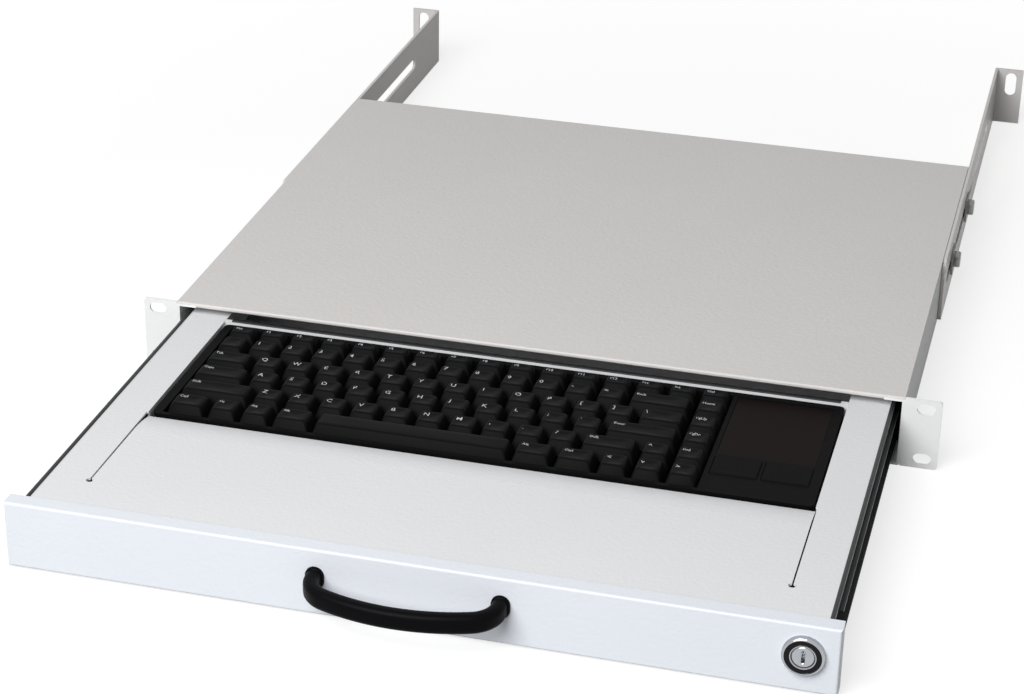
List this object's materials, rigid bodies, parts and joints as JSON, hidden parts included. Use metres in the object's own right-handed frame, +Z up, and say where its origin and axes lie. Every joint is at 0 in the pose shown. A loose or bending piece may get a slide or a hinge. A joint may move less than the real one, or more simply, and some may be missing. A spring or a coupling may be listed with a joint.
{
  "type": "rack keyboard shelf",
  "caption": "Flat rack-mount drawer on ball slides with a built-in compact keyboard and touchpad, a bow handle, a key lock and slotted rear brackets.",
  "frame": {"origin": "middle of the four front rack slots, on the rear face of the ears, which seats on the rack posts", "axes": "+X to the right seen from the front, +Y to the back along the drawer's travel, +Z up"},
  "size_m": [0.4826, 0.8434, 0.0436],
  "materials": {
    "housing_paint": "light grey powder coat on sheet steel",
    "drawer_paint": "pale grey powder coat on sheet steel",
    "slide_steel": "black passivated rolled steel",
    "zinc_steel": "bright zinc plated steel",
    "ball_steel": "polished bearing steel",
    "handle_plastic": "satin black moulded nylon",
    "lock_chrome": "chrome plated zinc casting",
    "case_plastic": "black moulded ABS, fine texture",
    "key_plastic": "black moulded ABS key caps, satin",
    "pad_plastic": "dark grey polyester film",
    "button_plastic": "black moulded ABS",
    "black_rubber": "matt black rubber",
    "board_laminate": "green circuit board laminate"
  },
  "bodies": {
    "housing": {"top_cover": "housing_paint", "left_side_plate": "housing_paint", "right_side_plate": "housing_paint", "rear_brace": "housing_paint", "left_housing_rail": "slide_steel", "right_housing_rail": "slide_steel", "bracket_bolts": "zinc_steel", "bracket_washers": "zinc_steel"},
    "left_bracket": {"left_rear_bracket": "housing_paint"},
    "right_bracket": {"right_rear_bracket": "housing_paint"},
    "ball_cages": {"left_ball_cage": "zinc_steel", "right_ball_cage": "zinc_steel", "bearing_balls": "ball_steel"},
    "drawer": {"drawer_pan": "drawer_paint", "drawer_deck": "drawer_paint", "front_panel": "drawer_paint", "pull_handle": "handle_plastic", "left_drawer_rail": "slide_steel", "right_drawer_rail": "slide_steel", "front_support_bar": "drawer_paint", "rear_support_bar": "drawer_paint", "lock_barrel": "lock_chrome", "lock_nut": "lock_chrome", "cable_grommet": "black_rubber", "keyboard_base": "case_plastic", "keyboard_top_case": "case_plastic", "keyboard_feet": "black_rubber", "circuit_board": "board_laminate", "switch_mat": "black_rubber", "touchpad_surface": "pad_plastic"},
    "lock_core": {"lock_plug": "lock_chrome", "lock_cam": "zinc_steel"},
    "function_row": {"function_keys": "key_plastic"},
    "number_row": {"number_keys": "key_plastic"},
    "upper_letter_row": {"upper_letter_keys": "key_plastic"},
    "home_letter_row": {"home_letter_keys": "key_plastic"},
    "lower_letter_row": {"lower_letter_keys": "key_plastic"},
    "modifier_row": {"modifier_keys": "key_plastic"},
    "space_key": {"space_bar": "key_plastic"},
    "left_button": {"left_touchpad_button": "button_plastic"},
    "right_button": {"right_touchpad_button": "button_plastic"}
  },
  "joints": [
    {"name": "drawer_slide", "type": "slide", "parent": "housing", "child": "drawer", "axis": [0, 1, 0], "range_m": [0, 0.236]},
    {"name": "cage_slide", "type": "slide", "parent": "housing", "child": "ball_cages", "axis": [0, 1, 0], "range_m": [0, 0.118]},
    {"name": "left_bracket_slide", "type": "slide", "parent": "housing", "child": "left_bracket", "axis": [0, 1, 0], "range_m": [-0.155, 0.028]},
    {"name": "right_bracket_slide", "type": "slide", "parent": "housing", "child": "right_bracket", "axis": [0, 1, 0], "range_m": [-0.155, 0.028]},
    {"name": "lock_turn", "type": "hinge", "parent": "drawer", "child": "lock_core", "pos_m": [0.202, -0.2475, 0.001], "axis": [0, -1, 0], "range_deg": [0, 90]},
    {"name": "function_press", "type": "slide", "parent": "drawer", "child": "function_row", "axis": [0, 0, -1], "range_m": [0, 0.0025], "stiffness_N_per_m": 1600, "springref_m": -0.0015},
    {"name": "number_press", "type": "slide", "parent": "drawer", "child": "number_row", "axis": [0, 0, -1], "range_m": [0, 0.0025], "stiffness_N_per_m": 1500, "springref_m": -0.0015},
    {"name": "upper_letter_press", "type": "slide", "parent": "drawer", "child": "upper_letter_row", "axis": [0, 0, -1], "range_m": [0, 0.0025], "stiffness_N_per_m": 1500, "springref_m": -0.0015},
    {"name": "home_letter_press", "type": "slide", "parent": "drawer", "child": "home_letter_row", "axis": [0, 0, -1], "range_m": [0, 0.0025], "stiffness_N_per_m": 1400, "springref_m": -0.0015},
    {"name": "lower_letter_press", "type": "slide", "parent": "drawer", "child": "lower_letter_row", "axis": [0, 0, -1], "range_m": [0, 0.0025], "stiffness_N_per_m": 1400, "springref_m": -0.0015},
    {"name": "modifier_press", "type": "slide", "parent": "drawer", "child": "modifier_row", "axis": [0, 0, -1], "range_m": [0, 0.0025], "stiffness_N_per_m": 900, "springref_m": -0.0015},
    {"name": "space_press", "type": "slide", "parent": "drawer", "child": "space_key", "axis": [0, 0, -1], "range_m": [0, 0.0025], "stiffness_N_per_m": 300, "springref_m": -0.0015},
    {"name": "left_button_press", "type": "slide", "parent": "drawer", "child": "left_button", "axis": [0, 0, -1], "range_m": [0, 0.0008], "stiffness_N_per_m": 500, "springref_m": -0.001},
    {"name": "right_button_press", "type": "slide", "parent": "drawer", "child": "right_button", "axis": [0, 0, -1], "range_m": [0, 0.0008], "stiffness_N_per_m": 500, "springref_m": -0.001}
  ],
  "couplings": [
    {"joint": "cage_slide", "follows": "drawer_slide", "ratio": 0.5}
  ]
}
